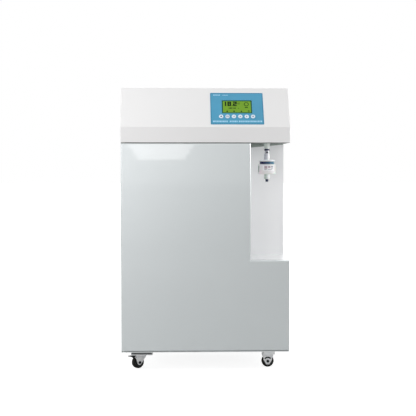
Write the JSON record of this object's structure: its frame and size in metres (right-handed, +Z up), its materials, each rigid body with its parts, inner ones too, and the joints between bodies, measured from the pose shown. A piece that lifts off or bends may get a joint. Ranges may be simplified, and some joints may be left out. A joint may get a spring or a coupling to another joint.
{
  "type": "ultrapure water system",
  "caption": "Floor-standing water purifier cabinet on castors, with a sloped control head, an L-shaped door and an open recess holding the dispensing outlet and a capsule filter.",
  "frame": {"origin": "on the floor, under the middle of the whole box", "axes": "+X to the right seen from the front, +Y to the back, +Z up"},
  "size_m": [0.543, 0.48, 0.915],
  "materials": {
    "head_white": "glossy powder coat",
    "cabinet_white": "glossy powder coat",
    "niche_white": "satin powder coat",
    "galvanised": "galvanised",
    "zinc": "zinc plated",
    "steel": "turned",
    "black_steel": "black coated",
    "pedal_black": "black coated",
    "wheel": "matt rubber on a plastic centre",
    "overlay_blue": "satin film",
    "display_green": "glossy",
    "key_white": "glossy",
    "board_green": "satin",
    "bush_plastic": "matt",
    "magnet_dark": "matt",
    "fitting_clear": "translucent moulding",
    "ring_black": "matt",
    "connector_white": "glossy moulding",
    "cap_white": "glossy moulding",
    "band_teal": "glossy moulding",
    "shell_clear": "clear",
    "membrane_white": "matt membrane",
    "nozzle_clear": "translucent moulding",
    "filter_blue": "satin moulding",
    "bowl_white": "satin moulding",
    "housing_white": "satin moulding",
    "polisher_grey": "satin moulding",
    "clip_grey": "satin",
    "stainless": "brushed",
    "pump_dark": "painted casting",
    "valve_white": "moulded",
    "cell_grey": "moulded",
    "supply_silver": "plain",
    "tube_white": "satin tube",
    "fitting_grey": "moulded",
    "inlet_black": "matt moulding",
    "rocker_red": "glossy moulding"
  },
  "bodies": {
    "cabinet": {"base_pan": "cabinet_white", "base_runners": "zinc", "bulkhead_fittings": "fitting_grey", "castor_plates": "black_steel", "circuit_boards": "board_green", "conductivity_cells": "cell_grey", "control_overlay": "overlay_blue", "display_module": "display_green", "door_magnets": "magnet_dark", "door_pivot_pins": "steel", "fasteners": "black_steel", "filter_cap": "cap_white", "filter_core": "membrane_white", "filter_nozzle": "nozzle_clear", "filter_ring": "band_teal", "filter_shell": "shell_clear", "frame_uprights": "galvanised", "head_cover": "head_white", "head_floor": "cabinet_white", "internal_tubing": "tube_white", "left_side_panel": "cabinet_white", "membrane_housings": "housing_white", "mounting_plate": "galvanised", "niche_liner": "niche_white", "outlet_connector": "connector_white", "outlet_fitting": "fitting_clear", "outlet_ring": "ring_black", "polishing_cartridges": "polisher_grey", "power_inlet": "inlet_black", "power_supply": "supply_silver", "prefilter_bowls": "bowl_white", "prefilter_heads": "filter_blue", "rear_panel": "cabinet_white", "right_side_panel": "cabinet_white", "rigid_axles": "steel", "rigid_forks": "zinc", "solenoid_valves": "valve_white", "unit_clips": "clip_grey", "uv_reactor": "stainless", "water_pumps": "pump_dark"},
    "front_door": {"front_door": "cabinet_white", "door_bushes": "bush_plastic"},
    "swivel_front": {"swivel_fork_front": "zinc", "swivel_axle_front": "steel"},
    "swivel_rear": {"swivel_fork_rear": "zinc", "swivel_axle_rear": "steel"},
    "pedal_front": {"brake_pedal_front": "pedal_black"},
    "pedal_rear": {"brake_pedal_rear": "pedal_black"},
    "wheel_front_left": {"wheel_front_left": "wheel"},
    "wheel_rear_left": {"wheel_rear_left": "wheel"},
    "wheel_front_right": {"wheel_front_right": "wheel"},
    "wheel_rear_right": {"wheel_rear_right": "wheel"},
    "power_rocker": {"power_rocker": "rocker_red"},
    "outlet_button": {"outlet_button": "ring_black"},
    "key_1": {"key_1": "key_white"},
    "key_2": {"key_2": "key_white"},
    "key_3": {"key_3": "key_white"},
    "key_4": {"key_4": "key_white"},
    "key_5": {"key_5": "key_white"},
    "key_6": {"key_6": "key_white"}
  },
  "joints": [
    {"name": "front_door_hinge", "type": "hinge", "parent": "cabinet", "child": "front_door", "pos_m": [-0.262, -0.232, 0.4], "axis": [0, 0, -1], "range_deg": [0, 105]},
    {"name": "key_1_press", "type": "slide", "parent": "cabinet", "child": "key_1", "axis": [0, 0.837, -0.5472], "range_m": [0, 0.0008], "stiffness_N_per_m": 600},
    {"name": "key_2_press", "type": "slide", "parent": "cabinet", "child": "key_2", "axis": [0, 0.837, -0.5472], "range_m": [0, 0.0008], "stiffness_N_per_m": 600},
    {"name": "key_3_press", "type": "slide", "parent": "cabinet", "child": "key_3", "axis": [0, 0.837, -0.5472], "range_m": [0, 0.0008], "stiffness_N_per_m": 600},
    {"name": "key_4_press", "type": "slide", "parent": "cabinet", "child": "key_4", "axis": [0, 0.837, -0.5472], "range_m": [0, 0.0008], "stiffness_N_per_m": 600},
    {"name": "key_5_press", "type": "slide", "parent": "cabinet", "child": "key_5", "axis": [0, 0.837, -0.5472], "range_m": [0, 0.0008], "stiffness_N_per_m": 600},
    {"name": "key_6_press", "type": "slide", "parent": "cabinet", "child": "key_6", "axis": [0, 0.837, -0.5472], "range_m": [0, 0.0008], "stiffness_N_per_m": 600},
    {"name": "outlet_button_press", "type": "slide", "parent": "cabinet", "child": "outlet_button", "axis": [0, 1, 0], "range_m": [0, 0.001], "stiffness_N_per_m": 600},
    {"name": "power_rocker_tilt", "type": "hinge", "parent": "cabinet", "child": "power_rocker", "pos_m": [0.2, 0.2185, 0.1625], "axis": [1, 0, 0], "range_deg": [-16, 0]},
    {"name": "swivel_front_turn", "type": "hinge", "parent": "cabinet", "child": "swivel_front", "pos_m": [-0.2048, -0.163, 0.048], "axis": [0, 0, 1], "continuous": true},
    {"name": "wheel_front_left_spin", "type": "hinge", "parent": "swivel_front", "child": "wheel_front_left", "pos_m": [-0.21954, -0.17332, 0.02], "axis": [0.5736, -0.8192, 0], "continuous": true},
    {"name": "pedal_front_press", "type": "hinge", "parent": "swivel_front", "child": "pedal_front", "pos_m": [-0.23101, -0.18135, 0.039], "axis": [0.5736, -0.8192, 0], "range_deg": [0, 25]},
    {"name": "swivel_rear_turn", "type": "hinge", "parent": "cabinet", "child": "swivel_rear", "pos_m": [-0.2048, 0.16, 0.048], "axis": [0, 0, 1], "continuous": true},
    {"name": "wheel_rear_left_spin", "type": "hinge", "parent": "swivel_rear", "child": "wheel_rear_left", "pos_m": [-0.22171, 0.15384, 0.02], "axis": [0.342, -0.9397, 0], "continuous": true},
    {"name": "pedal_rear_press", "type": "hinge", "parent": "swivel_rear", "child": "pedal_rear", "pos_m": [-0.23487, 0.14905, 0.039], "axis": [0.342, -0.9397, 0], "range_deg": [0, 25]},
    {"name": "wheel_front_right_spin", "type": "hinge", "parent": "cabinet", "child": "wheel_front_right", "pos_m": [0.207, -0.163, 0.02], "axis": [0, 1, 0], "continuous": true},
    {"name": "wheel_rear_right_spin", "type": "hinge", "parent": "cabinet", "child": "wheel_rear_right", "pos_m": [0.207, 0.16, 0.02], "axis": [0, 1, 0], "continuous": true}
  ]
}
